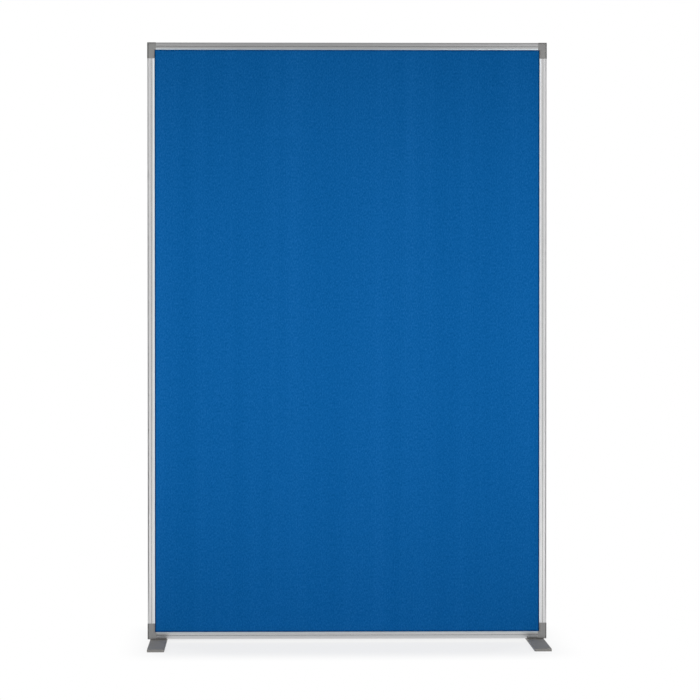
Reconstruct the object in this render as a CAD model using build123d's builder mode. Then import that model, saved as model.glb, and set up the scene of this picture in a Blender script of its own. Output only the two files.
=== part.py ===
from build123d import *
import os

# Free-standing felt partition screen, in millimetres.
# X runs along the screen's width, the front faces -Y, Z is up.
# The origin is on the floor, midway between the feet and under the middle of the board.

# Overall size, over the corner mouldings and down to the floor
screen_width = 1200.0
screen_height = 1800.0

# Board: a soft pinnable core with a sheet of felt bonded to each face
core_thickness = 18.0
felt_thickness = 1.5
board_side_gap = 1.0
board_top_gap = 2.0

# Aluminium extrusion that all four frame members are cut from
face_width = 22.0
channel_depth = 10.0
board_clearance = 0.3
lip_wall = 2.2
lip_tip_chamfer = 0.4
bevel_width = 4.0
bevel_drop = 0.7
outer_wall = 2.4
face_wall = 1.6
web_wall = 1.6
edge_radius = 6.0
groove_width = 1.2
groove_depth = 0.8

# Corner mouldings: a long leg up the stile and a short one along the rail, past the opening's corner
cap_proud = 0.5
cap_long_reach = 26.0
cap_short_reach = 4.0
cap_corner_radius = 2.0
cap_wall = 2.5
cap_end_taper = 3.0
cap_pocket_width = 18.0

# Their spigots, which fill the chambers of the extrusions
spigot_length = 60.0
spigot_clearance = 0.15
spigot_lead = 1.5
spigot_floor = 2.7
spigot_cheek = 3.0
boss_width = 14.0
rib_wall = 3.0

# Steel foot bars
foot_length = 400.0
foot_width = 50.0
foot_thickness = 8.0
foot_inset = 8.0
foot_corner_radius = 3.0
foot_edge_chamfer = 1.0

# Countersunk screws that hold a foot from below
foot_screw_pitch = 30.0
foot_screw_diameter = 6.0
foot_screw_head = 12.0
foot_screw_sink = 0.3
foot_screw_cover = 2.45
screw_tip_gap = 0.5
foot_hole_clearance = 0.3
hex_socket = 4.0
hex_socket_depth = 2.2

# Threaded inserts that the foot screws run into
insert_diameter = 8.0
insert_cover = 0.7
insert_wall = 4.5
insert_clearance = 0.05
thread_clearance = 0.05

# Countersunk self-tapping screws that lock the spigots in the extrusions
corner_screw_diameter = 4.2
corner_screw_head = 8.0
corner_screw_sink = 0.1
corner_screw_cover = 0.65
corner_hole_clearance = 0.2
cross_length = 4.4
cross_width = 0.9
cross_depth = 1.3

# Screw heads and countersinks share a right-angled cone, with this clearance between them
sink_angle = 90
head_clearance = 0.05

# One overrun for all cuts
overrun = 1.0

# Sizes of the section that follow from the board
board_thickness = core_thickness + 2 * felt_thickness
channel_width = board_thickness + 2 * board_clearance
frame_depth = channel_width + 2 * lip_wall
half_depth = frame_depth / 2
channel_floor = face_width - channel_depth
chamber_width = channel_floor - web_wall - outer_wall
chamber_depth = frame_depth - 2 * face_wall
chamber_radius = edge_radius - outer_wall

# The frame's outer faces, just inside the proud corner mouldings
frame_side = screen_width / 2 - cap_proud
frame_bottom = foot_thickness + cap_proud
frame_top = screen_height - cap_proud

# Ends of a corner moulding's legs, from the frame's outer corner
long_end = face_width + cap_long_reach
short_end = face_width + cap_short_reach

# Spigots in their chambers, from the frame's outer side
spigot_outer = outer_wall + spigot_clearance
spigot_inner = channel_floor - web_wall - spigot_clearance
spigot_height = spigot_inner - spigot_outer
spigot_width = chamber_depth - 2 * spigot_clearance

# Fasteners end short of the spigots' inner faces by their covers
foot_screw_length = frame_bottom + spigot_inner - foot_screw_cover - foot_screw_sink
corner_screw_length = spigot_inner - corner_screw_cover - corner_screw_sink
insert_length = spigot_height - insert_cover

# Foot screws, from the frame's outer corner along the rail: the outer one runs into the corner
# moulding's body, a wall away from the rail's end, and the inner one into the spigot
body_screw = short_end - insert_wall - insert_diameter / 2
spigot_screw = body_screw + foot_screw_pitch

# Each spigot's boss stands over the screw that locks it, as far from its shoulder on both legs
boss_from_shoulder = spigot_screw - short_end
side_screw = long_end + boss_from_shoulder

# Directions
right, left = (1, 0, 0), (-1, 0, 0)
up, down = (0, 0, 1), (0, 0, -1)


# Sections lie in the XY plane: X runs from the frame's outer side to its lip, Y through its depth

def half_outline(proud):
    """Half of a section's outline, from its outer side round to its lip, drawn in the active line."""
    flat_half = half_depth - edge_radius
    face = half_depth + proud
    lip = half_depth - bevel_drop
    Line((-proud, 0), (-proud, flat_half))
    CenterArc((edge_radius, flat_half), edge_radius + proud, 90, 90)
    Line((edge_radius, face), (face_width - bevel_width, face))
    Line((face_width - bevel_width, face), (face_width, lip))
    Line((face_width, lip), (face_width, 0))


def cut_board_channel(section):
    """The channel that grips the board's edge, cut from this active sketch, with its lips' tips eased."""
    with Locations((channel_floor, 0)):
        Rectangle(
            channel_depth + overrun, channel_width, align=(Align.MIN, Align.CENTER), mode=Mode.SUBTRACT
        )
    lip_corners = section.vertices().group_by(Axis.X)[-1].group_by(Axis.Y)
    chamfer(lip_corners[0] + lip_corners[-1], length=lip_tip_chamfer)


with BuildSketch() as chamber_section:
    with Locations((outer_wall, 0)):
        Rectangle(chamber_width, chamber_depth, align=(Align.MIN, Align.CENTER))
    fillet(chamber_section.vertices().group_by(Axis.X)[0], radius=chamber_radius)

with BuildSketch() as extrusion_section:
    with BuildLine():
        half_outline(0)
        mirror(about=Plane.XZ)
    make_face()
    cut_board_channel(extrusion_section)
    add(chamber_section.sketch, mode=Mode.SUBTRACT)
    with Locations((channel_floor, half_depth), (channel_floor, -half_depth)):
        Rectangle(groove_width, 2 * groove_depth, mode=Mode.SUBTRACT)

with BuildSketch() as cap_section:
    with BuildLine():
        half_outline(cap_proud)
        mirror(about=Plane.XZ)
    make_face()
    cut_board_channel(cap_section)


# Frame members

def frame_member(label, start, inward, along, length, screw_places=(), foot_places=()):
    """A cut length of the extrusion from start, with its screw holes through the outer wall."""
    outward = Vector(inward) * -1
    with BuildPart() as member:
        with BuildSketch(Plane(origin=start, x_dir=inward, z_dir=along)):
            add(extrusion_section.sketch)
        extrude(amount=length)
        for place in screw_places:
            with Locations(Plane(origin=Vector(start) + Vector(along) * place, z_dir=outward)):
                CounterSinkHole(
                    radius=corner_screw_diameter / 2 + corner_hole_clearance,
                    counter_sink_radius=corner_screw_head / 2 + corner_screw_sink + head_clearance,
                    depth=outer_wall + overrun,
                    counter_sink_angle=sink_angle,
                )
        for place in foot_places:
            with Locations(Plane(origin=Vector(start) + Vector(along) * place, z_dir=outward)):
                Hole(radius=foot_screw_diameter / 2 + foot_hole_clearance, depth=outer_wall + overrun)
    member.part.label = label
    return member.part


stile_start = frame_bottom + long_end
stile_length = frame_top - frame_bottom - 2 * long_end
rail_start = short_end - frame_side
rail_length = 2 * (frame_side - short_end)
stile_ends = (boss_from_shoulder, stile_length - boss_from_shoulder)
rail_ends = (boss_from_shoulder, rail_length - boss_from_shoulder)

left_stile = frame_member(
    "left_stile", (-frame_side, 0, stile_start), right, up, stile_length, screw_places=stile_ends
)
right_stile = frame_member(
    "right_stile", (frame_side, 0, stile_start), left, up, stile_length, screw_places=stile_ends
)
top_rail = frame_member(
    "top_rail", (rail_start, 0, frame_top), down, right, rail_length, screw_places=rail_ends
)
bottom_rail = frame_member(
    "bottom_rail", (rail_start, 0, frame_bottom), up, right, rail_length, foot_places=rail_ends
)


# Spigot, in section coordinates, standing on its shoulder: it fills the chamber less a clearance,
# with a lead at its tip, and is cored from the web side, between its ribs and the boss for a screw
near_boss = boss_from_shoulder - boss_width / 2
far_boss = boss_from_shoulder + boss_width / 2
far_core = (spigot_length - far_boss - 2 * rib_wall) / 2

with BuildPart() as spigot:
    with BuildSketch():
        add(chamber_section.sketch)
        offset(amount=-spigot_clearance)
    extrude(amount=spigot_length)
    chamfer(spigot.faces().sort_by(Axis.Z)[-1].edges().sort_by(Axis.X)[-1], length=spigot_lead)
    with BuildSketch(Plane.YZ.offset(spigot_inner)):
        with Locations((0, rib_wall)):
            Rectangle(spigot_width - 2 * spigot_cheek, near_boss - rib_wall, align=(Align.CENTER, Align.MIN))
        with Locations((0, far_boss), (0, far_boss + far_core + rib_wall)):
            Rectangle(spigot_width - 2 * spigot_cheek, far_core, align=(Align.CENTER, Align.MIN))
    extrude(amount=spigot_floor - spigot_height, mode=Mode.SUBTRACT)


# Corner moulding without screw holes, from the frame's outer corner: X along the rail, Z up the
# stile. Its section turns the corner in a mitre, its outer corner is eased, its legs taper down to
# the extrusions at their ends, and its long leg is cored from the channel floor
leg_core_start = channel_floor + rib_wall
leg_core = (long_end - leg_core_start - 2 * rib_wall) / 2

with BuildPart() as corner_moulding:
    with BuildLine() as round_the_corner:
        Polyline((short_end, 0, 0), (0, 0, 0), (0, 0, long_end))
    with BuildSketch(Plane(origin=(short_end, 0, 0), x_dir=up, z_dir=left)):
        add(cap_section.sketch)
    sweep(path=round_the_corner.line, transition=Transition.RIGHT)
    with BuildSketch(Plane.XZ) as front_view:
        with BuildLine():
            short_leg = (short_end, long_end), (short_end, 0), (short_end - cap_end_taper, -cap_proud)
            long_leg = (-cap_proud, long_end - cap_end_taper), (0, long_end)
            Polyline(*short_leg, (-cap_proud, -cap_proud), *long_leg, close=True)
        make_face()
        fillet(front_view.vertices().sort_by_distance((-cap_proud, -cap_proud))[0], radius=cap_corner_radius)
    extrude(amount=half_depth + cap_proud, both=True, mode=Mode.INTERSECT)
    with BuildSketch(Plane.YZ.offset(channel_floor)):
        with Locations((0, leg_core_start), (0, leg_core_start + leg_core + rib_wall)):
            Rectangle(cap_pocket_width, leg_core, align=(Align.CENTER, Align.MIN))
    extrude(amount=cap_wall - channel_floor, mode=Mode.SUBTRACT)
    with Locations(Plane(origin=(0, 0, long_end)), Plane(origin=(short_end, 0, 0), x_dir=up, z_dir=right)):
        add(spigot.part)


def corner_cap(label, corner, carries_foot):
    """A corner moulding, placed by the plane of its corner, with its screw holes."""
    pilot_depth = corner_screw_sink + corner_screw_length + screw_tip_gap - spigot_outer
    tip_depth = foot_screw_sink + foot_screw_length + screw_tip_gap - foot_thickness
    side_seat = Plane(origin=(spigot_outer, 0, side_screw), z_dir=left)
    rail_seat = Plane(origin=(spigot_screw, 0, spigot_outer), z_dir=down)
    body_seat = Plane(origin=(body_screw, 0, -cap_proud), z_dir=down)
    with BuildPart() as drilled:
        add(corner_moulding.part)
        with Locations(side_seat):
            Hole(radius=corner_screw_diameter / 2 + thread_clearance, depth=pilot_depth)
        if carries_foot:
            with Locations(rail_seat):
                Hole(radius=insert_diameter / 2 + insert_clearance, depth=spigot_height + overrun)
            with Locations(body_seat):
                Hole(radius=insert_diameter / 2 + insert_clearance, depth=tip_depth)
        else:
            with Locations(rail_seat):
                Hole(radius=corner_screw_diameter / 2 + thread_clearance, depth=pilot_depth)
    with BuildPart() as cap:
        with Locations(corner):
            add(drilled.part)
    cap.part.label = label
    return cap.part


bottom_left = Plane(origin=(-frame_side, 0, frame_bottom), x_dir=right, z_dir=up)
bottom_right = Plane(origin=(frame_side, 0, frame_bottom), x_dir=left, z_dir=up)
top_left = Plane(origin=(-frame_side, 0, frame_top), x_dir=right, z_dir=down)
top_right = Plane(origin=(frame_side, 0, frame_top), x_dir=left, z_dir=down)

corner_caps = [
    corner_cap("corner_cap_bottom_left", bottom_left, carries_foot=True),
    corner_cap("corner_cap_bottom_right", bottom_right, carries_foot=True),
    corner_cap("corner_cap_top_left", top_left, carries_foot=False),
    corner_cap("corner_cap_top_right", top_right, carries_foot=False),
]


# Board: it stands on the channel floor of the bottom rail, with room to grow at its sides and top
board_half_width = frame_side - channel_floor - board_side_gap
board_bottom = frame_bottom + channel_floor
board_height = frame_top - channel_floor - board_top_gap - board_bottom


def board_layer(label, back, thickness):
    """A flat layer of the board, of this thickness in front of the place named back."""
    with BuildPart() as layer:
        with BuildSketch(Plane.XZ.offset(-back)):
            with Locations((0, board_bottom)):
                Rectangle(2 * board_half_width, board_height, align=(Align.CENTER, Align.MIN))
        extrude(amount=thickness)
    layer.part.label = label
    return layer.part


core_board = board_layer("core_board", core_thickness / 2, core_thickness)
felt_front = board_layer("felt_front", -core_thickness / 2, felt_thickness)
felt_rear = board_layer("felt_rear", core_thickness / 2 + felt_thickness, felt_thickness)


# Feet
foot_centre = screen_width / 2 - foot_inset - foot_width / 2


def foot_plate(label, side):
    """A flat steel bar with a chamfered top rim, countersunk from below for its two screws."""
    with BuildPart() as plate:
        with BuildSketch():
            with Locations((side * foot_centre, 0)):
                RectangleRounded(foot_width, foot_length, foot_corner_radius)
        extrude(amount=foot_thickness)
        chamfer(plate.faces().sort_by(Axis.Z)[-1].edges(), length=foot_edge_chamfer)
        for along_rail in (body_screw, spigot_screw):
            with Locations(Plane(origin=(side * (frame_side - along_rail), 0, 0), z_dir=down)):
                CounterSinkHole(
                    radius=foot_screw_diameter / 2 + foot_hole_clearance,
                    counter_sink_radius=foot_screw_head / 2 + foot_screw_sink + head_clearance,
                    depth=foot_thickness + overrun,
                    counter_sink_angle=sink_angle,
                )
    plate.part.label = label
    return plate.part


# Fasteners, each drawn once with its head down and its shank up the Z axis

def screw_outline(head, shank, length):
    """Half of a countersunk screw's outline, drawn in the active line and turned about Z."""
    neck = (shank / 2, (head - shank) / 2)
    Polyline((0, 0), (head / 2, 0), neck, (shank / 2, length), (0, length), close=True)


with BuildPart() as foot_screw:
    with BuildSketch(Plane.XZ):
        with BuildLine():
            screw_outline(foot_screw_head, foot_screw_diameter, foot_screw_length)
        make_face()
    revolve(axis=Axis.Z)
    with BuildSketch():
        RegularPolygon(hex_socket / 2, 6, major_radius=False)
    extrude(amount=hex_socket_depth, mode=Mode.SUBTRACT)

with BuildPart() as corner_screw:
    with BuildSketch(Plane.XZ):
        with BuildLine():
            screw_outline(corner_screw_head, corner_screw_diameter, corner_screw_length)
        make_face()
    revolve(axis=Axis.Z)
    with BuildSketch():
        Rectangle(cross_length, cross_width)
        Rectangle(cross_width, cross_length)
    extrude(amount=cross_depth, mode=Mode.SUBTRACT)

with BuildPart() as threaded_insert:
    Cylinder(insert_diameter / 2, insert_length, align=(Align.CENTER, Align.CENTER, Align.MIN))
    Hole(radius=foot_screw_diameter / 2 + thread_clearance, depth=insert_length)


def placed(label, piece, places):
    """Copies of one fastener at these planes, as one group of separate solids."""
    with BuildPart() as group:
        with Locations(*places):
            add(piece)
    group.part.label = label
    return group.part


def foot_place(side, along_rail, height):
    """Plane of a foot's fastener, at a place along the rail from the frame's outer corner."""
    return Plane(origin=(side * (frame_side - along_rail), 0, height))


def side_place(side, height):
    """Plane of the screw through a stile's outer wall, sunk below its face."""
    return Plane(origin=(side * (frame_side - corner_screw_sink), 0, height), z_dir=(-side, 0, 0))


def top_place(side):
    """Plane of the screw through the top rail's outer wall, sunk below its face."""
    return Plane(origin=(side * (frame_side - spigot_screw), 0, frame_top - corner_screw_sink), z_dir=down)


# The left side is -1 and the right side 1
sides = (-1, 1)
insert_seats = (("outer", body_screw, foot_thickness), ("inner", spigot_screw, frame_bottom + spigot_outer))
side_screw_heights = (frame_bottom + side_screw, frame_top - side_screw)

feet = []
side_screws = []
for hand, side in zip(("left", "right"), sides):
    feet.append(foot_plate("foot_plate_" + hand, side))
    side_places = [side_place(side, height) for height in side_screw_heights]
    side_screws.append(placed("side_screws_" + hand, corner_screw.part, side_places))

foot_fasteners = []
for position, along_rail, seat in insert_seats:
    screw_places = [foot_place(side, along_rail, foot_screw_sink) for side in sides]
    insert_places = [foot_place(side, along_rail, seat) for side in sides]
    foot_fasteners.append(placed("foot_screws_" + position, foot_screw.part, screw_places))
    foot_fasteners.append(placed("foot_inserts_" + position, threaded_insert.part, insert_places))

top_screws = placed("top_screws", corner_screw.part, [top_place(side) for side in sides])


# One file for each node
frame_and_board = [left_stile, right_stile, top_rail, bottom_rail, core_board, felt_front, felt_rear]
feet_and_fasteners = feet + foot_fasteners + side_screws + [top_screws]
os.makedirs("parts", exist_ok=True)
for piece in frame_and_board + corner_caps + feet_and_fasteners:
    export_step(piece, "parts/" + piece.label + ".step")
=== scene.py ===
import logging
import math
from dataclasses import dataclass
from enum import Enum

import bpy
import numpy as np
from mathutils import Matrix, Vector


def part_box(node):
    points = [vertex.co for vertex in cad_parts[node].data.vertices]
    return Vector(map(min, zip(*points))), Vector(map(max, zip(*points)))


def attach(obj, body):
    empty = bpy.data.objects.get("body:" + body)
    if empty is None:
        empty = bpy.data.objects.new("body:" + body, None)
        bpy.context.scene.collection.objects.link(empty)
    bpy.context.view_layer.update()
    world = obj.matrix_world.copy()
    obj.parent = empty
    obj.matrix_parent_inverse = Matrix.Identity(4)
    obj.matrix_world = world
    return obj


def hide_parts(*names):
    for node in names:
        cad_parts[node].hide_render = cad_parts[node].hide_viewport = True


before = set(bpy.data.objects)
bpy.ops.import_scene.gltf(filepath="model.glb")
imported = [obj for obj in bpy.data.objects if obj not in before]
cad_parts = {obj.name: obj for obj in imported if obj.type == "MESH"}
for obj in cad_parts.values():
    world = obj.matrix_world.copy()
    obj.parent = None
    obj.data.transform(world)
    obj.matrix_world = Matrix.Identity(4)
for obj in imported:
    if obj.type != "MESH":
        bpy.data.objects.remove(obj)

# Looks of a free-standing felt partition screen. Lengths are in metres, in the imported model's frame:
# X runs along the screen, the front faces -Y and Z is up.

log = logging.getLogger("screen")

Colour = tuple[float, float, float]
Span = tuple[float, float]
Box = tuple[Vector, Vector]
Socket = bpy.types.NodeSocket
Value = Socket | float | tuple[float, ...]

MM = 0.001
# The felt's rim share, kept on the sheet for the painted shadow that the finish puts along the lips.
RIM_SHADOW_ATTRIBUTE = "rim_painted_shadow"
NOISE_ROUGHNESS = 0.55

# Nearly all of a noise lies between these two values.
NOISE_SPAN: Span = (0.3, 0.7)


class Run(Enum):
    """The way that a length of the extrusion runs."""

    ACROSS = (1.0, 0.0, 0.0)
    UP = (0.0, 0.0, 1.0)

    @property
    def crossing(self) -> str:
        """The letter of the axis that crosses the run in the screen's plane."""
        return "Z" if self is Run.ACROSS else "X"


class Facing(Enum):
    """The side of the screen that a felt or a lamp is on, as its sign along Y."""

    FRONT = -1.0
    REAR = 1.0


# Node trees

class Graph:
    """A node tree, with short calls for the nodes that the finishes are made of."""

    # The Mix node's colour sockets go by number, because it has others of the same names.
    mix_inputs: tuple[int, int, int] = (0, 6, 7)
    mix_output: int = 2

    def __init__(self, tree: bpy.types.NodeTree) -> None:
        """Wraps a tree, which may be a material's, a world's or a group's."""
        self.tree = tree

    def add(self, kind: str, settings: dict | None = None, inputs: dict | None = None) -> bpy.types.Node:
        """Adds a node to the tree.

        Args:
            kind: The node's type, without its leading ShaderNode.
            settings: Values for the node's own properties.
            inputs: Values or sockets for its inputs, by name or number.

        Returns:
            The new node.
        """
        node = self.tree.nodes.new("ShaderNode" + kind)
        for name, value in (settings or {}).items():
            setattr(node, name, value)
        for name, value in (inputs or {}).items():
            self.feed(node.inputs[name], value)
        return node

    def feed(self, socket: Socket, value: Value) -> None:
        """Gives an input its value.

        Args:
            socket: The input.
            value: A socket to link into it, or a plain value to set on it.
        """
        if isinstance(value, Socket):
            self.tree.links.new(value, socket)
        else:
            socket.default_value = value

    def math(self, operation: str, a: Value, b: Value = 0.0, clamp: bool = False) -> Socket:
        """Works out one sum of two values.

        Args:
            operation: The sum, such as MULTIPLY or ADD.
            a: The first value.
            b: The second value, if the sum has one.
            clamp: Whether the result is held between 0 and 1.

        Returns:
            The result.
        """
        return self.add("Math", {"operation": operation, "use_clamp": clamp}, {0: a, 1: b}).outputs[0]

    def scaled(self, vector: Value, factors: Value) -> Socket:
        """Returns a vector with each of its coordinates multiplied by its own factor."""
        return self.add("VectorMath", {"operation": "MULTIPLY"}, {0: vector, 1: factors}).outputs[0]

    def part(self, vector: Value, axis: str) -> Socket:
        """Returns one coordinate of a vector, by its letter."""
        return self.add("SeparateXYZ", {}, {0: vector}).outputs[axis]

    def ramp(self, value: Value, low: Value, high: Value, start: Value = 0.0, end: Value = 1.0,
             smooth: bool = False) -> Socket:
        """Maps a value from one range onto another, and holds it at both ends.

        Args:
            value: The value.
            low: Where the first range begins.
            high: Where the first range ends, which may be below low.
            start: The result at low and before it.
            end: The result at high and past it.
            smooth: Whether the result eases in and out.

        Returns:
            The mapped value.
        """
        kind = "SMOOTHSTEP" if smooth else "LINEAR"
        values = {"Value": value, "From Min": low, "From Max": high, "To Min": start, "To Max": end}
        return self.add("MapRange", {"interpolation_type": kind}, values).outputs[0]

    def mix(self, share: Value, a: Value, b: Value) -> Socket:
        """Turns one colour towards another.

        Args:
            share: How far, from 0 to 1.
            a: The colour at 0.
            b: The colour at 1.

        Returns:
            The mixed colour.
        """
        node = self.add("Mix", {"data_type": "RGBA"})
        for place, value in zip(self.mix_inputs, (share, a, b)):
            self.feed(node.inputs[place], (*value, 1.0) if isinstance(value, tuple) else value)
        return node.outputs[self.mix_output]

    def noise(self, vector: Value, scale: Value, detail: float = 3.0) -> Socket:
        """Makes fractal noise around a half.

        Args:
            vector: The places that it is made over.
            scale: How many features it has in a metre.
            detail: How many finer layers lie on the first.

        Returns:
            The noise, from 0 to 1.
        """
        values = {"Vector": vector, "Scale": scale, "Detail": detail, "Roughness": NOISE_ROUGHNESS}
        return self.add("TexNoise", {}, values).outputs[0]

    def bump(self, height: Value, depth: float) -> Socket:
        """Returns the normal of a surface raised by a height from 0 to 1 times a depth in metres."""
        return self.add("Bump", {}, {"Height": height, "Distance": depth, "Strength": 1.0}).outputs[0]

    def place(self) -> Socket:
        """Returns the object coordinates, which are places on the screen in metres."""
        return self.add("TexCoord").outputs["Object"]

    def group(self, tree: bpy.types.NodeTree, inputs: dict) -> Socket:
        """Places a shared node group with its own values.

        Args:
            tree: The group.
            inputs: Values or sockets for its inputs, by name.

        Returns:
            The group's one output.
        """
        node = self.add("Group", {"node_tree": tree})
        for name, value in inputs.items():
            self.feed(node.inputs[name], value)
        return node.outputs[0]


class GroupGraph(Graph):
    """A shared node group with one output, while it is being built."""

    def __init__(self, name: str, inputs: dict[str, str], output: str) -> None:
        """Makes an empty group.

        Args:
            name: The group's name.
            inputs: Socket types by name, such as Float or Vector.
            output: The name of its output, which is a number.
        """
        super().__init__(bpy.data.node_groups.new(name, "ShaderNodeTree"))
        for socket, kind in inputs.items():
            self.tree.interface.new_socket(name=socket, in_out="INPUT", socket_type="NodeSocket" + kind)
        self.tree.interface.new_socket(name=output, in_out="OUTPUT", socket_type="NodeSocketFloat")
        self.given = self.tree.nodes.new("NodeGroupInput").outputs
        self.result = self.tree.nodes.new("NodeGroupOutput").inputs[0]

    def close(self, value: Value) -> bpy.types.NodeTree:
        """Links the group's result, and returns its finished tree."""
        self.feed(self.result, value)
        return self.tree


class SharedEffects:
    """The node groups that more than one finish uses, each built once.

    A span is where a mask begins and where it is whole, a scale is in features to the metre, and a detail
    is in layers of noise. Broad lines are counted against one fine line. A sector of the studio ends
    between two angles, in degrees from straight ahead, and the flanks meet in a band about the middle.
    """

    fine_detail: float = 2.0
    coarse_detail: float = 4.0
    corner_samples: int = 4
    corner_span: Span = (0.995, 0.93)
    wear_scale: float = 160.0
    wear_span: Span = (0.35, 0.7)
    # Samples and span of the mask of painted shade in the grooves.
    crevice_shade_samples: int = 6
    crevice_shade_span: Span = (0.9, 0.55)
    lying_span: Span = (0.6, 1.0)
    dust_scale: float = 45.0
    dust_detail: float = 5.0
    dust_span: Span = (0.3, 0.75)
    broad_lines: float = 0.2
    broad_share: float = 0.4
    middle_half: float = 0.01
    ahead_end: Span = (10.0, 20.0)
    lamps_end: Span = (34.0, 46.0)
    flanks_end: Span = (92.0, 106.0)
    overhead_span: Span = (0.45, 0.75)

    def __init__(self) -> None:
        """Builds the groups."""
        self.grain = self._grain()
        self.edge_wear = self._edge_wear()
        self.painted_crevice_shade = self._painted_crevice_shade()
        self.dust = self._dust()
        self.drawn_lines = self._drawn_lines()
        self.studio_level = self._studio_level()

    def _grain(self) -> bpy.types.NodeTree:
        """Builds noise of two sizes, fine and coarse, around a half.

        Returns:
            The group. Fine and Coarse are sizes in metres, and Share is the coarse noise's part.
        """
        graph = GroupGraph(
            "grain", {"Vector": "Vector", "Fine": "Float", "Coarse": "Float", "Share": "Float"}, "Value"
        )
        place, share = graph.given["Vector"], graph.given["Share"]
        fine = graph.noise(place, graph.math("DIVIDE", 1.0, graph.given["Fine"]), self.fine_detail)
        coarse = graph.noise(place, graph.math("DIVIDE", 1.0, graph.given["Coarse"]), self.coarse_detail)
        fine_part = graph.math("MULTIPLY", fine, graph.math("SUBTRACT", 1.0, share))
        return graph.close(graph.math("ADD", fine_part, graph.math("MULTIPLY", coarse, share)))

    def _edge_wear(self) -> bpy.types.NodeTree:
        """Builds a mask of the corners, from how far a rounded-off normal turns from the true one.

        Returns:
            The group. Radius is the rounding in metres, and Amount scales the mask.
        """
        graph = GroupGraph("edge wear", {"Vector": "Vector", "Radius": "Float", "Amount": "Float"}, "Mask")
        settings = {"samples": self.corner_samples}
        rounded = graph.add("Bevel", settings, {"Radius": graph.given["Radius"]}).outputs[0]
        true_normal = graph.add("NewGeometry").outputs["Normal"]
        alike = graph.add("VectorMath", {"operation": "DOT_PRODUCT"}, {0: rounded, 1: true_normal})
        corner = graph.ramp(alike.outputs["Value"], *self.corner_span)
        patchy = graph.ramp(graph.noise(graph.given["Vector"], self.wear_scale), *self.wear_span)
        worn = graph.math("MULTIPLY", corner, patchy)
        return graph.close(graph.math("MULTIPLY", worn, graph.given["Amount"], clamp=True))

    def _painted_crevice_shade(self) -> bpy.types.NodeTree:
        """Builds a mask of painted shade in narrow grooves, by how much of the space ahead their own piece
        fills.

        Returns:
            The group. Reach is how far it looks in metres, and Amount scales the mask.
        """
        graph = GroupGraph("painted_crevice_shade", {"Reach": "Float", "Amount": "Float"}, "Mask")
        settings = {"samples": self.crevice_shade_samples, "only_local": True}
        space = graph.add("AmbientOcclusion", settings, {"Distance": graph.given["Reach"]})
        hidden = graph.ramp(space.outputs["AO"], *self.crevice_shade_span)
        return graph.close(graph.math("MULTIPLY", hidden, graph.given["Amount"], clamp=True))

    def _dust(self) -> bpy.types.NodeTree:
        """Builds a mask of the faces that look up, broken by noise.

        Returns:
            The group. Amount scales the mask.
        """
        graph = GroupGraph("dust", {"Vector": "Vector", "Amount": "Float"}, "Mask")
        rise = graph.part(graph.add("NewGeometry").outputs["Normal"], "Z")
        lying = graph.ramp(rise, *self.lying_span)
        clumps = graph.noise(graph.given["Vector"], self.dust_scale, self.dust_detail)
        settled = graph.math("MULTIPLY", lying, graph.ramp(clumps, *self.dust_span))
        return graph.close(graph.math("MULTIPLY", settled, graph.given["Amount"], clamp=True))

    def _drawn_lines(self) -> bpy.types.NodeTree:
        """Builds fine lines along a drawn section, from two sizes of noise pulled out lengthwise.

        Returns:
            The group. Stretch shortens the coordinate along the length, and Pitch is in metres.
        """
        inputs = {"Vector": "Vector", "Stretch": "Vector", "Pitch": "Float"}
        graph = GroupGraph("drawn lines", inputs, "Value")
        stretched = graph.scaled(graph.given["Vector"], graph.given["Stretch"])
        fine, broad = (
            graph.noise(stretched, graph.math("DIVIDE", lines, graph.given["Pitch"]), self.fine_detail)
            for lines in (1.0, self.broad_lines)
        )
        fine_part = graph.math("MULTIPLY", fine, 1.0 - self.broad_share)
        return graph.close(graph.math("ADD", fine_part, graph.math("MULTIPLY", broad, self.broad_share)))

    def _studio_level(self) -> bpy.types.NodeTree:
        """Builds the studio's brightness towards a place or a direction, by its angle from straight ahead.

        It is dim in a sector around the camera, bright at the soft lamps, dim again along the flanks,
        bright on the backdrop behind the screen and dim overhead.

        Returns:
            The group, with an input for each of these levels.
        """
        levels = ("Ahead", "Lamps", "Left", "Right", "Behind", "Above")
        graph = GroupGraph("studio level", {"Vector": "Vector"} | dict.fromkeys(levels, "Float"), "Level")
        given = graph.given
        across, along = (graph.part(given["Vector"], axis) for axis in "XY")
        angle = graph.math("ARCTAN2", graph.math("ABSOLUTE", across), graph.math("MULTIPLY", along, -1.0))
        flank = graph.ramp(across, -self.middle_half, self.middle_half, given["Left"], given["Right"])
        bright = given["Ahead"]
        for ends, following in (
            (self.ahead_end, given["Lamps"]), (self.lamps_end, flank), (self.flanks_end, given["Behind"])
        ):
            low, high = (math.radians(end) for end in ends)
            bright = graph.ramp(angle, low, high, bright, following, smooth=True)
        unit = graph.add("VectorMath", {"operation": "NORMALIZE"}, {0: given["Vector"]}).outputs[0]
        rise = graph.part(unit, "Z")
        return graph.close(graph.ramp(rise, *self.overhead_span, bright, given["Above"], smooth=True))


# Finishes

def new_material(name: str) -> tuple[bpy.types.Material, Graph, bpy.types.Node]:
    """Makes a material with a Principled shader.

    Args:
        name: The material's name.

    Returns:
        The material, its graph and its shader.
    """
    material = bpy.data.materials.new(name)
    material.use_nodes = True
    return material, Graph(material.node_tree), material.node_tree.nodes["Principled BSDF"]


@dataclass(frozen=True)
class Finish:
    """What every finish has: the shared effects, with short calls for the two that most finishes use."""

    effects: SharedEffects

    def _grain(self, graph: Graph, place: Socket, fine: float, coarse: float, share: float) -> Socket:
        """Places the noise of two sizes, from its sizes in metres and the coarse one's share."""
        sizes = {"Fine": fine, "Coarse": coarse, "Share": share}
        return graph.group(self.effects.grain, {"Vector": place} | sizes)

    def _wear(self, graph: Graph, place: Socket, radius: float, amount: float) -> Socket:
        """Places the mask of worn corners, from its rounding in metres and its amount."""
        return graph.group(self.effects.edge_wear, {"Vector": place, "Radius": radius, "Amount": amount})


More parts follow.
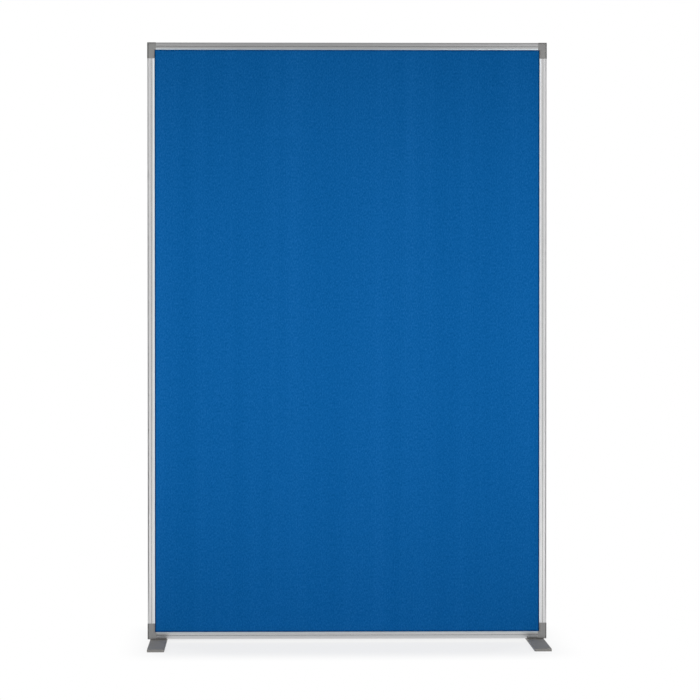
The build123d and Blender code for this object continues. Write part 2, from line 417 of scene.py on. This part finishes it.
@dataclass(frozen=True)
class AnodisedAluminium(Finish):
    """Satin natural anodising over the fine lines that the die leaves along an extrusion."""

    colour: Colour = (0.70, 0.70, 0.705)
    line_colour: Colour = (0.63, 0.63, 0.635)
    worn_colour: Colour = (0.78, 0.78, 0.78)
    # Painted shade: the colour that the grooves are darkened towards where the crevice mask finds them
    # hidden.
    groove_shade_colour: Colour = (0.04, 0.04, 0.04)
    roughness: Span = (0.28, 0.40)
    anisotropy: float = 0.75
    quarter_turn: float = 0.25
    line_span: Span = (0.35, 0.65)
    line_pitch: float = 0.5 * MM
    line_stretch: float = 0.004
    line_depth: float = 0.006 * MM
    wear_radius: float = 0.4 * MM
    wear_amount: float = 0.35
    # How far the grooves' painted shade looks, and how strong it is.
    groove_shade_reach: float = 1.5 * MM
    groove_shade_amount: float = 0.9
    # A painted highlight on the lips' bevels, tinted blue as a painted reflection of the felt.
    bevel_highlight_colour: Colour = (0.80, 0.92, 0.98)
    bevel_highlight_share: float = 0.6
    bevel_width: float = 4.0 * MM
    bevel_blend: float = 0.3 * MM

    def _painted_bevel_highlight(self, graph: Graph, across: Socket, lips: Span) -> Socket:
        """Masks the bevels of the lips, the part of each face next to the opening, for a painted bluish
        highlight.

        Args:
            graph: The finish's graph.
            across: The coordinate that crosses the lengths.
            lips: Where the edges of the two facing lips are along it.

        Returns:
            How far the face takes the painted highlight's colour, from 0 to 1.
        """
        middle = (lips[0] + lips[1]) / 2
        edge = (lips[1] - lips[0]) / 2 + self.bevel_width
        away = graph.math("ABSOLUTE", graph.math("SUBTRACT", across, middle))
        return graph.ramp(away, edge, edge - self.bevel_blend, 0.0, self.bevel_highlight_share)

    def material(self, name: str, run: Run, opening: Box) -> bpy.types.Material:
        """Builds the finish for lengths that run one way.

        Args:
            name: The material's name.
            run: The way that they run, which the lines and the spread of reflections follow.
            opening: The frame's opening, which the lips' bevels lie around.

        Returns:
            The material.
        """
        material, graph, shader = new_material(name)
        place = graph.place()
        stretch = tuple(self.line_stretch if along else 1.0 for along in run.value)
        lines = graph.group(
            self.effects.drawn_lines, {"Vector": place, "Stretch": stretch, "Pitch": self.line_pitch}
        )
        wear = self._wear(graph, place, self.wear_radius, self.wear_amount)
        painted_crevice_shade = graph.group(
            self.effects.painted_crevice_shade, {"Reach": self.groove_shade_reach, "Amount": self.groove_shade_amount}
        )
        drawn = graph.mix(graph.ramp(lines, *self.line_span), self.line_colour, self.colour)
        lips = tuple(getattr(corner, run.crossing.lower()) for corner in opening)
        bevel_highlight = self._painted_bevel_highlight(graph, graph.part(place, run.crossing), lips)
        # The lips' bevels are lightened to a pale blue, as a painted highlight and reflection of the felt.
        worn = graph.mix(wear, graph.mix(bevel_highlight, drawn, self.bevel_highlight_colour), self.worn_colour)
        # The grooves are darkened by the crevice mask, as painted shade.
        graph.feed(shader.inputs["Base Color"], graph.mix(painted_crevice_shade, worn, self.groove_shade_colour))
        graph.feed(shader.inputs["Roughness"], graph.ramp(lines, *NOISE_SPAN, *self.roughness))
        graph.feed(shader.inputs["Normal"], graph.bump(lines, self.line_depth))
        direction = graph.add("CombineXYZ", {}, dict(zip("XYZ", run.value)))
        graph.feed(shader.inputs["Tangent"], direction.outputs[0])
        shader.inputs["Metallic"].default_value = 1.0
        shader.inputs["Anisotropic"].default_value = self.anisotropy
        shader.inputs["Anisotropic Rotation"].default_value = self.quarter_turn
        return material


@dataclass(frozen=True)
class MouldedPlastic(Finish):
    """Mid-grey plastic with the fine texture of a spark-eroded mould, and painted shade on its rounded
    sides.
    """

    colour: Colour = (0.272, 0.270, 0.266)
    light_colour: Colour = (0.314, 0.312, 0.307)
    worn_colour: Colour = (0.36, 0.36, 0.355)
    # Painted shade on the rounded edges at the sides.
    rounding_shade_colour: Colour = (0.130, 0.129, 0.127)
    rounding_start: Span = (0.22, 0.50)
    rounding_end: Span = (1.00, 0.93)
    roughness: Span = (0.44, 0.56)
    fleck_span: Span = (0.4, 0.65)
    texture_fine: float = 0.35 * MM
    texture_coarse: float = 6.0 * MM
    texture_share: float = 0.3
    texture_depth: float = 0.03 * MM
    wear_radius: float = 0.6 * MM
    wear_amount: float = 0.5

    def _painted_rounding_shade(self, graph: Graph) -> Socket:
        """Masks the rounded edges at the sides, which are painted darker than the faces as shade, by how
        far they turn.

        Args:
            graph: The finish's graph.

        Returns:
            1 halfway round the edge, and 0 on the faces and on the flat sides.
        """
        turn = graph.math("ABSOLUTE", graph.part(graph.add("NewGeometry").outputs["Normal"], "X"))
        begun = graph.ramp(turn, *self.rounding_start)
        return graph.math("MULTIPLY", begun, graph.ramp(turn, *self.rounding_end))

    def material(self, name: str) -> bpy.types.Material:
        """Builds the finish.

        Args:
            name: The material's name.

        Returns:
            The material.
        """
        material, graph, shader = new_material(name)
        place = graph.place()
        texture = self._grain(graph, place, self.texture_fine, self.texture_coarse, self.texture_share)
        wear = self._wear(graph, place, self.wear_radius, self.wear_amount)
        flecked = graph.mix(graph.ramp(texture, *self.fleck_span), self.colour, self.light_colour)
        # The rounded side edges are darkened as painted shade.
        rounding_shaded = graph.mix(self._painted_rounding_shade(graph), flecked, self.rounding_shade_colour)
        graph.feed(shader.inputs["Base Color"], graph.mix(wear, rounding_shaded, self.worn_colour))
        graph.feed(shader.inputs["Roughness"], graph.ramp(texture, *NOISE_SPAN, *self.roughness))
        graph.feed(shader.inputs["Normal"], graph.bump(texture, self.texture_depth))
        return material


@dataclass(frozen=True)
class NeedledFelt(Finish):
    """Dense needled felt: short matted fibres, a faint lengthwise streak, no shine and a painted shadow at
    its rim.
    """

    colour: Colour = (0.0036, 0.104, 0.335)
    dark_colour: Colour = (0.0008, 0.074, 0.255)
    light_colour: Colour = (0.0115, 0.138, 0.422)
    # Painted shadow along the felt's rim, next to the frame's lips.
    rim_shadow_colour: Colour = (0.004, 0.030, 0.090)
    rim_shade: float = 0.6
    fibre: float = 0.45 * MM
    mottle: float = 3.6 * MM
    mottle_share: float = 0.6
    upright: float = 0.6
    fibre_depth: float = 0.25 * MM
    streak_pitch: float = 60.0 * MM
    streak_length: float = 0.02
    streak_detail: float = 2.0
    streak_share: float = 0.1
    dark_span: Span = (0.35, 0.5)
    light_span: Span = (0.5, 0.65)
    roughness: Span = (0.9, 1.0)
    sheen: float = 0.04
    sheen_roughness: float = 0.6
    sheen_tint: Colour = (0.25, 0.5, 1.0)

    def material(self, name: str) -> bpy.types.Material:
        """Builds the finish.

        Args:
            name: The material's name.

        Returns:
            The material.
        """
        material, graph, shader = new_material(name)
        place = graph.place()
        raised = graph.scaled(place, (1.0, 1.0, self.upright))
        fibres = self._grain(graph, raised, self.fibre, self.mottle, self.mottle_share)
        drawn_out = graph.scaled(place, (1.0, 1.0, self.streak_length))
        streaks = graph.noise(drawn_out, 1.0 / self.streak_pitch, self.streak_detail)
        fibre_part = graph.math("MULTIPLY", fibres, 1.0 - self.streak_share)
        tone = graph.math("ADD", fibre_part, graph.math("MULTIPLY", streaks, self.streak_share))
        dark_side = graph.mix(graph.ramp(tone, *self.dark_span), self.dark_colour, self.colour)
        matted = graph.mix(graph.ramp(tone, *self.light_span), dark_side, self.light_colour)
        # The rim is darkened as a painted shadow from the lips.
        pressed = graph.add("Attribute", {"attribute_name": RIM_SHADOW_ATTRIBUTE}).outputs["Fac"]
        shade = graph.math("MULTIPLY", pressed, self.rim_shade)
        graph.feed(shader.inputs["Base Color"], graph.mix(shade, matted, self.rim_shadow_colour))
        graph.feed(shader.inputs["Roughness"], graph.ramp(fibres, *NOISE_SPAN, *self.roughness))
        graph.feed(shader.inputs["Normal"], graph.bump(fibres, self.fibre_depth))
        shader.inputs["Specular IOR Level"].default_value = 0.0
        shader.inputs["Sheen Weight"].default_value = self.sheen
        shader.inputs["Sheen Roughness"].default_value = self.sheen_roughness
        shader.inputs["Sheen Tint"].default_value = (*self.sheen_tint, 1.0)
        return material


@dataclass(frozen=True)
class PowderCoat(Finish):
    """Fine-textured dark grey powder coat on steel."""

    colour: Colour = (0.262, 0.253, 0.240)
    light_colour: Colour = (0.300, 0.290, 0.275)
    worn_colour: Colour = (0.33, 0.33, 0.33)
    dust_colour: Colour = (0.40, 0.39, 0.38)
    roughness: Span = (0.60, 0.75)
    specular: float = 0.3
    speckle_span: Span = (0.42, 0.62)
    grain: float = 0.6 * MM
    swell: float = 5.0 * MM
    swell_share: float = 0.25
    depth: float = 0.06 * MM
    wear_radius: float = 0.8 * MM
    wear_amount: float = 0.4
    dust_amount: float = 0.12

    def material(self, name: str) -> bpy.types.Material:
        """Builds the finish.

        Args:
            name: The material's name.

        Returns:
            The material.
        """
        material, graph, shader = new_material(name)
        place = graph.place()
        peel = self._grain(graph, place, self.grain, self.swell, self.swell_share)
        wear = self._wear(graph, place, self.wear_radius, self.wear_amount)
        dust = graph.group(self.effects.dust, {"Vector": place, "Amount": self.dust_amount})
        speckled = graph.mix(graph.ramp(peel, *self.speckle_span), self.colour, self.light_colour)
        dusty = graph.mix(dust, speckled, self.dust_colour)
        graph.feed(shader.inputs["Base Color"], graph.mix(wear, dusty, self.worn_colour))
        graph.feed(shader.inputs["Roughness"], graph.ramp(peel, *NOISE_SPAN, *self.roughness))
        graph.feed(shader.inputs["Normal"], graph.bump(peel, self.depth))
        shader.inputs["Specular IOR Level"].default_value = self.specular
        return material


@dataclass(frozen=True)
class BrightMetal(Finish):
    """A small turned or plated metal fastener."""

    colour: Colour
    dull_colour: Colour
    worn_colour: Colour = (0.8, 0.8, 0.8)
    roughness: Span = (0.3, 0.5)
    cloud_span: Span = (0.35, 0.65)
    grain: float = 0.3 * MM
    mottle: float = 1.5 * MM
    mottle_share: float = 0.6
    depth: float = 0.01 * MM
    wear_radius: float = 0.3 * MM
    wear_amount: float = 0.8

    def material(self, name: str) -> bpy.types.Material:
        """Builds the finish.

        Args:
            name: The material's name.

        Returns:
            The material.
        """
        material, graph, shader = new_material(name)
        place = graph.place()
        clouds = self._grain(graph, place, self.grain, self.mottle, self.mottle_share)
        wear = self._wear(graph, place, self.wear_radius, self.wear_amount)
        clouded = graph.mix(graph.ramp(clouds, *self.cloud_span), self.dull_colour, self.colour)
        graph.feed(shader.inputs["Base Color"], graph.mix(wear, clouded, self.worn_colour))
        graph.feed(shader.inputs["Roughness"], graph.ramp(clouds, *NOISE_SPAN, *self.roughness))
        graph.feed(shader.inputs["Normal"], graph.bump(clouds, self.depth))
        shader.inputs["Metallic"].default_value = 1.0
        return material


@dataclass(frozen=True)
class SoftFibreboard(Finish):
    """Raw pressed fibreboard: brown matted fibres with hardly any shine."""

    colour: Colour = (0.30, 0.19, 0.10)
    light_colour: Colour = (0.46, 0.32, 0.19)
    roughness: Span = (0.85, 1.0)
    fibre_span: Span = (0.35, 0.65)
    layers: tuple[float, float, float] = (1.0, 3.0, 1.0)
    fibre: float = 0.8 * MM
    clump: float = 12.0 * MM
    clump_share: float = 0.4
    depth: float = 0.3 * MM

    def material(self, name: str) -> bpy.types.Material:
        """Builds the finish.

        Args:
            name: The material's name.

        Returns:
            The material.
        """
        material, graph, shader = new_material(name)
        layered = graph.scaled(graph.place(), self.layers)
        fibres = self._grain(graph, layered, self.fibre, self.clump, self.clump_share)
        colour = graph.mix(graph.ramp(fibres, *self.fibre_span), self.colour, self.light_colour)
        graph.feed(shader.inputs["Base Color"], colour)
        graph.feed(shader.inputs["Roughness"], graph.ramp(fibres, *NOISE_SPAN, *self.roughness))
        graph.feed(shader.inputs["Normal"], graph.bump(fibres, self.depth))
        return material


# Meshes

def grid_faces(rows: int, columns: int) -> np.ndarray:
    """Numbers the quads of a grid of vertices that is stored row by row.

    Each quad takes a vertex, the one in the next row, that one's neighbour and the first's neighbour, so it
    faces the way that the rows' direction crossed with the columns' does.

    Args:
        rows: The number of rows.
        columns: The number of columns.

    Returns:
        Vertex numbers, four to a quad.
    """
    corner = np.arange(rows * columns).reshape(rows, columns)
    quads = (corner[:-1, :-1], corner[1:, :-1], corner[1:, 1:], corner[:-1, 1:])
    return np.stack(quads, axis=-1).reshape(-1, 4)


def mesh_object(name: str, points: np.ndarray, faces: np.ndarray) -> bpy.types.Object:
    """Makes a smooth-shaded object at the origin from points and quads.

    Args:
        name: The object's name.
        points: Places of the vertices, an array of n by 3.
        faces: Vertex numbers of the quads, an array of m by 4.

    Returns:
        The object, linked into the scene.
    """
    mesh = bpy.data.meshes.new(name)
    mesh.vertices.add(len(points))
    mesh.vertices.foreach_set("co", points.astype(np.float32).ravel())
    mesh.loops.add(faces.size)
    mesh.loops.foreach_set("vertex_index", faces.astype(np.int32).ravel())
    mesh.polygons.add(len(faces))
    mesh.polygons.foreach_set("loop_start", np.arange(0, faces.size, faces.shape[1], dtype=np.int32))
    mesh.polygons.foreach_set("use_smooth", np.ones(len(faces), dtype=bool))
    mesh.update(calc_edges=True)
    mesh.validate()
    made = bpy.data.objects.new(name, mesh)
    bpy.context.scene.collection.objects.link(made)
    return made


def dress(node: str, material: bpy.types.Material) -> None:
    """Gives a CAD node its finish, in every material slot that it has.

    Args:
        node: The node's name.
        material: The finish.
    """
    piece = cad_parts[node]
    if not piece.material_slots:
        piece.data.materials.append(material)
    for slot in piece.material_slots:
        slot.material = material
    log.info("%s: CAD node, %d triangles, %s", node, len(piece.data.polygons), material.name)


def frame_opening() -> Box:
    """Finds the frame's opening.

    Returns:
        Its lowest and highest corners, at the inner edges of the stiles and the rails.
    """
    left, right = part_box("left_stile")[1].x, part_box("right_stile")[0].x
    bottom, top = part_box("bottom_rail")[1].z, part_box("top_rail")[0].z
    return Vector((left, 0.0, bottom)), Vector((right, 0.0, top))


# Sub-assemblies

@dataclass
class FeltSheet:
    """One felt, bonded flat to the board and pressed down at its rim by the frame's lips.

    The swell's start, rise and slant are angles in radians: its turn at the screen's middle, and how far
    it turns in a pitch up the sheet and in a metre across it.
    """

    node: str
    facing: Facing
    opening: Box
    columns: int = 131
    rows: int = 193
    rim_steps: int = 5
    rim_sink: float = 1.0 * MM
    rim_width: float = 6.0 * MM
    swell: float = 0.12 * MM
    swell_pitch: float = 190.0 * MM
    swell_start: float = 0.7
    swell_rise: float = 4.1
    swell_slant: float = 3.0

    def _rim_share(self, x: np.ndarray, z: np.ndarray) -> np.ndarray:
        """Works out how far each place is pressed down, which also sets how much painted shadow the finish
        puts there.

        It is half of one plus the cosine of a half turn times the distance to the nearest side of the
        opening, in rim widths and held from 0 to 1: 1 at and under the lips, 0 a rim's width inside.

        Args:
            x: Places across the screen.
            z: Places up the screen.

        Returns:
            The shares, from 0 to 1.
        """
        low, high = self.opening
        inside = np.minimum(np.minimum(x - low.x, high.x - x), np.minimum(z - low.z, high.z - z))
        return 0.5 + 0.5 * np.cos(math.pi * np.clip(inside / self.rim_width, 0.0, 1.0))

    def _spread(self, edges: Span, lips: Span, count: int) -> np.ndarray:
        """Spreads places from one edge of the sheet to the other, close together in the rims.

        Args:
            edges: The sheet's two edges.
            lips: The two lips' edges, inside the sheet's.
            count: How many places lie evenly from one rim to the other.

        Returns:
            The places, in order.
        """
        rim = np.linspace(0.0, self.rim_width, self.rim_steps)
        middle = np.linspace(lips[0] + self.rim_width, lips[1] - self.rim_width, count)[1:-1]
        return np.concatenate((edges[:1], lips[0] + rim, middle, (lips[1] - rim)[::-1], edges[1:]))

    def _surface(self, box: Box) -> tuple[np.ndarray, np.ndarray, np.ndarray]:
        """Works out both faces of the sheet.

        The outer face is the CAD slab's. It is lowered by the rim's share of its sink, and elsewhere by up
        to the swell: a sine across the sheet times a slanted cosine up it. The inner face lies flat on
        the board.

        Args:
            box: The slab's lowest and highest corners.

        Returns:
            The outer points, the inner points and the rim's shares, each by row and column.
        """
        low, high = box
        lip_low, lip_high = self.opening
        xs = self._spread((low.x, high.x), (lip_low.x, lip_high.x), self.columns)
        zs = self._spread((low.z, high.z), (lip_low.z, lip_high.z), self.rows)
        z, x = np.meshgrid(zs, xs, indexing="ij")
        outer, inner = (low.y, high.y) if self.facing is Facing.FRONT else (high.y, low.y)
        across = x / self.swell_pitch * math.tau + self.swell_start
        wave = np.sin(across) * np.cos(z / self.swell_pitch * self.swell_rise + x * self.swell_slant)
        rim = self._rim_share(x, z)
        drop = self.rim_sink * rim + self.swell * (0.5 + 0.5 * wave) * (1.0 - rim)
        face = np.stack((x, outer - self.facing.value * drop, z), axis=-1)
        back = np.stack((x, np.full_like(x, inner), z), axis=-1)
        return face, back, rim

    def _faces(self, rows: int, columns: int) -> np.ndarray:
        """Numbers the quads of both faces and of the cut edge that joins them, all facing outwards.

        Args:
            rows: Rows of vertices in each face.
            columns: Columns of vertices in each face.

        Returns:
            Vertex numbers, four to a quad. The inner face's vertices follow the outer face's.
        """
        count = rows * columns
        to_rear = grid_faces(rows, columns)
        to_front = to_rear[:, ::-1]
        ring = np.concatenate((
            np.arange(columns),
            np.arange(1, rows) * columns + columns - 1,
            (rows - 1) * columns + np.arange(columns - 2, -1, -1),
            np.arange(rows - 2, 0, -1) * columns,
        ))
        around = np.roll(ring, -1)
        cut_edge = np.stack((ring, ring + count, around + count, around), axis=-1)
        if self.facing is Facing.FRONT:
            return np.concatenate((to_front, to_rear + count, cut_edge))
        return np.concatenate((to_rear, to_front + count, cut_edge[:, ::-1]))

    def build(self, material: bpy.types.Material) -> bpy.types.Object:
        """Args:
            material: The felt's finish.

        Returns:
            The sheet.
        """
        low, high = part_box(self.node)
        face, back, rim = self._surface((low, high))
        points = np.concatenate((face.reshape(-1, 3), back.reshape(-1, 3)))
        sheet = mesh_object(self.node + "_cloth", points, self._faces(*rim.shape))
        # The rim's shares go to the felt's finish, which paints a shadow along the lips with them.
        pressed = sheet.data.attributes.new(RIM_SHADOW_ATTRIBUTE, "FLOAT", "POINT")
        pressed.data.foreach_set("value", np.tile(rim.ravel(), 2).astype(np.float32))
        sheet.data.materials.append(material)
        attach(sheet, "root")
        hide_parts(self.node)
        log.info("%s: %d faces in place of %s", sheet.name, len(sheet.data.polygons), self.node)
        return sheet


@dataclass
class Panel:
    """The board: a soft core with a felt on each face."""

    effects: SharedEffects

    def build(self) -> None:
        """Dresses the core and makes both felts."""
        dress("core_board", SoftFibreboard(self.effects).material("pressed fibreboard"))
        felt = NeedledFelt(self.effects).material("blue needled felt")
        for node, facing in (("felt_front", Facing.FRONT), ("felt_rear", Facing.REAR)):
            FeltSheet(node, facing, frame_opening()).build(felt)


@dataclass
class PanelFrame:
    """The extruded members and the moulded corners that join them."""

    effects: SharedEffects
    stiles: tuple[str, ...] = ("left_stile", "right_stile")
    rails: tuple[str, ...] = ("top_rail", "bottom_rail")
    corners: tuple[str, ...] = ("top_left", "top_right", "bottom_left", "bottom_right")

    def build(self) -> None:
        """Dresses the members by the way that they run, and the corners."""
        aluminium = AnodisedAluminium(self.effects)
        opening = frame_opening()
        upright = aluminium.material("anodised stile", Run.UP, opening)
        level = aluminium.material("anodised rail", Run.ACROSS, opening)
        plastic = MouldedPlastic(self.effects).material("moulded corner plastic")
        for node in self.stiles:
            dress(node, upright)
        for node in self.rails:
            dress(node, level)
        for corner in self.corners:
            dress("corner_cap_" + corner, plastic)


@dataclass
class Feet:
    """The two coated bars."""

    effects: SharedEffects
    bars: tuple[str, ...] = ("foot_plate_left", "foot_plate_right")

    def build(self) -> None:
        """Dresses the bars."""
        coat = PowderCoat(self.effects).material("textured powder coat")
        for node in self.bars:
            dress(node, coat)


@dataclass
class Fasteners:
    """Screws and threaded inserts."""

    effects: SharedEffects
    screws: tuple[str, ...] = (
        "foot_screws_outer", "foot_screws_inner", "side_screws_left", "side_screws_right", "top_screws"
    )
    inserts: tuple[str, ...] = ("foot_inserts_outer", "foot_inserts_inner")
    zinc: tuple[Colour, Colour] = ((0.62, 0.63, 0.64), (0.48, 0.49, 0.50))
    brass: tuple[Colour, Colour] = ((0.72, 0.50, 0.22), (0.55, 0.37, 0.15))

    def build(self) -> None:
        """Dresses the screws in zinc plate and the inserts in brass."""
        zinc = BrightMetal(self.effects, *self.zinc).material("bright zinc plate")
        brass = BrightMetal(self.effects, *self.brass).material("turned brass")
        for node in self.screws:
            dress(node, zinc)
        for node in self.inserts:
            dress(node, brass)


# Camera and studio

@dataclass(frozen=True)
class Viewpoint:
    """The photograph's viewpoint: a long lens, turned and tilted by under a degree, and a shifted frame."""

    place: tuple[float, float, float] = (-0.2405, -6.6924, 1.050)
    turn: float = math.radians(0.80)
    tilt: float = math.radians(0.50)
    roll: float = math.radians(-0.0155)
    picture: float = 700.0
    focal_pixels: float = 2226.42
    axis_pixel: tuple[float, float] = (298.25, 311.91)
    sensor: float = 36.0
    sight: float = 200.0

    def build(self) -> None:
        """Makes the camera and gives it to the scene."""
        data = bpy.data.cameras.new("viewpoint")
        data.sensor_width = self.sensor
        data.lens = self.focal_pixels / self.picture * self.sensor
        data.shift_x = 0.5 - self.axis_pixel[0] / self.picture
        data.shift_y = self.axis_pixel[1] / self.picture - 0.5
        data.clip_end = self.sight
        camera = bpy.data.objects.new("viewpoint", data)
        bpy.context.scene.collection.objects.link(camera)
        turned = Matrix.Rotation(-self.turn, 4, "Z") @ Matrix.Rotation(math.pi / 2 - self.tilt, 4, "X")
        camera.matrix_world = Matrix.Translation(self.place) @ turned @ Matrix.Rotation(self.roll, 4, "Z")
        bpy.context.scene.camera = camera


@dataclass(frozen=True)
class Studio:
    """A pale studio: white floor and backdrop, a tall soft lamp off each corner and a sky dim ahead."""

    effects: SharedEffects
    floor_reach: float = 60.0
    floor_drop: float = 0.1 * MM
    floor_colour: Colour = (0.86, 0.86, 0.86)
    shade_white: float = 0.77
    shade_half: tuple[float, float] = (0.48, 0.18)
    shade_fade: tuple[float, float] = (0.22, 0.20)
    near_floor: float = 0.95
    near_reach: tuple[float, float] = (0.7, 2.2)
    front_power: float = 11.85
    rear_power: float = 9.6
    lamp_size: tuple[float, float] = (0.6, 1.6)
    lamp_spread: float = math.radians(90.0)
    lamp_place: tuple[float, float, float] = (2.0, 1.6, 1.02)
    lamp_aim: float = 0.3
    ahead: float = 0.38
    lamps: float = 1.95
    flanks: tuple[float, float] = (0.05, 0.25)
    behind: float = 1.0
    above: float = 0.40
    diffuse_share: float = 0.24

    def _level(self, graph: Graph, place: Socket) -> Socket:
        """Works out the studio's brightness.

        Args:
            graph: The graph that needs it.
            place: The place or direction that it is wanted towards.

        Returns:
            The brightness, where 1 is white.
        """
        left, right = self.flanks
        levels = {"Ahead": self.ahead, "Lamps": self.lamps, "Left": left, "Right": right}
        rest = {"Behind": self.behind, "Above": self.above}
        return graph.group(self.effects.studio_level, {"Vector": place} | levels | rest)

    def _shade(self, graph: Graph, place: Socket) -> Socket:
        """Masks the floor about the feet, where the screen's shade is kept.

        Args:
            graph: The floor's graph.
            place: The floor's object coordinates.

        Returns:
            1 about the feet, fading to 0 around them.
        """
        kept = 1.0
        for axis, half, fade in zip("XY", self.shade_half, self.shade_fade):
            away = graph.math("ABSOLUTE", graph.part(place, axis))
            kept = graph.math("MULTIPLY", graph.ramp(away, half, half + fade, 1.0, 0.0, smooth=True), kept)
        return kept

    def _floor(self) -> None:
        """Makes the floor, which shows white to the camera and keeps the screen's shade near the feet."""
        ends = np.array([(-1, -1), (-1, 1), (1, -1), (1, 1)]) * self.floor_reach
        points = np.column_stack((ends, np.full(len(ends), -self.floor_drop)))
        floor = mesh_object("studio_floor", points, grid_faces(2, 2))
        material, graph, shader = new_material("studio floor")
        shader.inputs["Base Color"].default_value = (*self.floor_colour, 1.0)
        shader.inputs["Roughness"].default_value = 1.0
        shader.inputs["Specular IOR Level"].default_value = 0.0
        place = graph.place()
        path = graph.add("LightPath").outputs
        distance = graph.add("VectorMath", {"operation": "LENGTH"}, {0: place}).outputs["Value"]
        level = self._level(graph, place)
        reflected = graph.ramp(distance, *self.near_reach, self.near_floor, level, smooth=True)
        glossy = path["Is Glossy Ray"]
        light = graph.add("Emission", {}, {"Color": graph.ramp(glossy, 0.0, 1.0, 1.0, reflected)})
        white = graph.ramp(self._shade(graph, place), 0.0, 1.0, 1.0, self.shade_white)
        through = graph.math("MAXIMUM", path["Is Transmission Ray"], glossy)
        seen = graph.math("MAXIMUM", path["Is Camera Ray"], through)
        blend = graph.add("MixShader", {}, {0: graph.math("MULTIPLY", seen, white)})
        graph.feed(blend.inputs[1], shader.outputs[0])
        graph.feed(blend.inputs[2], light.outputs[0])
        graph.feed(material.node_tree.nodes["Material Output"].inputs["Surface"], blend.outputs[0])
        floor.data.materials.append(material)

    def _sky(self) -> None:
        """Lights the scene by direction, on a backdrop that shows white to the camera."""
        world = bpy.data.worlds.new("studio sky")
        bpy.context.scene.world = world
        world.use_nodes = True
        graph = Graph(world.node_tree)
        background = world.node_tree.nodes["Background"]
        level = self._level(graph, graph.add("TexCoord").outputs["Generated"])
        path = graph.add("LightPath").outputs
        dimmed = graph.ramp(path["Is Diffuse Ray"], 0.0, 1.0, 1.0, self.diffuse_share)
        lit = graph.math("MULTIPLY", level, dimmed)
        seen = graph.math("MAXIMUM", path["Is Camera Ray"], path["Is Transmission Ray"])
        graph.feed(background.inputs["Color"], graph.ramp(seen, 0.0, 1.0, lit, 1.0))

    def _lamp(self, name: str, side: float, facing: Facing, power: float) -> None:
        """Stands a tall soft lamp off one corner of the screen, turned across its middle.

        Args:
            name: The lamp's name.
            side: -1 on the left and 1 on the right.
            facing: Whether it lights the front or the rear.
            power: Its power in watts.
        """
        data = bpy.data.lights.new(name, "AREA")
        data.energy = power
        data.shape = "RECTANGLE"
        data.size, data.size_y = self.lamp_size
        data.spread = self.lamp_spread
        lamp = bpy.data.objects.new(name, data)
        bpy.context.scene.collection.objects.link(lamp)
        across, away, height = self.lamp_place
        place = Vector((side * across, facing.value * away, height))
        aim = Vector((-side * self.lamp_aim, 0.0, height)) - place
        lamp.matrix_world = Matrix.Translation(place) @ aim.to_track_quat("-Z", "Y").to_matrix().to_4x4()
        lamp.visible_camera = False
        lamp.visible_glossy = False

    def build(self) -> None:
        """Makes the floor, the sky and the lamps, the rear pair of which is dimmer."""
        self._floor()
        self._sky()
        for facing, power in ((Facing.FRONT, self.front_power), (Facing.REAR, self.rear_power)):
            for hand, side in (("left", -1.0), ("right", 1.0)):
                self._lamp(f"lamp_{facing.name.lower()}_{hand}", side, facing, power)
        bpy.context.scene.view_settings.view_transform = "Standard"


def corners(box: Box) -> list[list[float]]:
    """Returns a box's lowest and highest corners as plain lists of numbers."""
    return [[float(part) for part in corner] for corner in box]


def main() -> None:
    """Builds the camera, the studio and the screen's looks, and reports each piece."""
    logging.basicConfig(level=logging.INFO, format="%(name)s: %(message)s")
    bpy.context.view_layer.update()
    Viewpoint().build()
    effects = SharedEffects()
    Studio(effects).build()
    for assembly in (Panel(effects), PanelFrame(effects), Feet(effects), Fasteners(effects)):
        assembly.build()
    bpy.context.view_layer.update()


if __name__ == "__main__":
    main()
